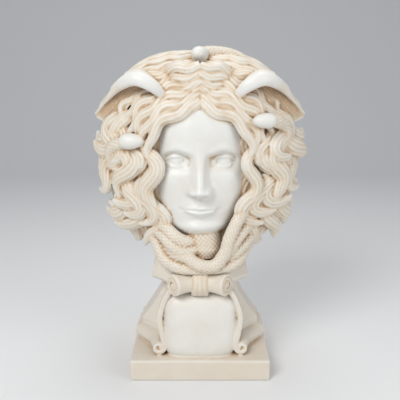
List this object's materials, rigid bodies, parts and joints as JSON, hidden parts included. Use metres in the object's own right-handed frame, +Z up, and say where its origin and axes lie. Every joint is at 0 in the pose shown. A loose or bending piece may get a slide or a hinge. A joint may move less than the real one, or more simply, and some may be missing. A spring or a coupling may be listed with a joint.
{
  "type": "gorgon mask",
  "caption": "Winged gorgon mask with wavy locks and knotted snakes under the chin, standing on an octagonal flared socle with scrolls, a blank cartouche and a square plinth.",
  "frame": {"origin": "centre of the plinth's underside", "axes": "+Z up, the face looks along -Y, +X to the right of a viewer in front of it"},
  "size_m": [0.3024, 0.2011, 0.4573],
  "materials": {
    "mask_marble": "satin cast marble, white on the face, with a warm tan patina in the recesses",
    "socle_marble": "satin cast marble, cream white, with tan creases"
  },
  "bodies": {
    "root": {"gorgon_mask": "mask_marble", "scrolled_socle": "socle_marble"}
  },
  "joints": []
}
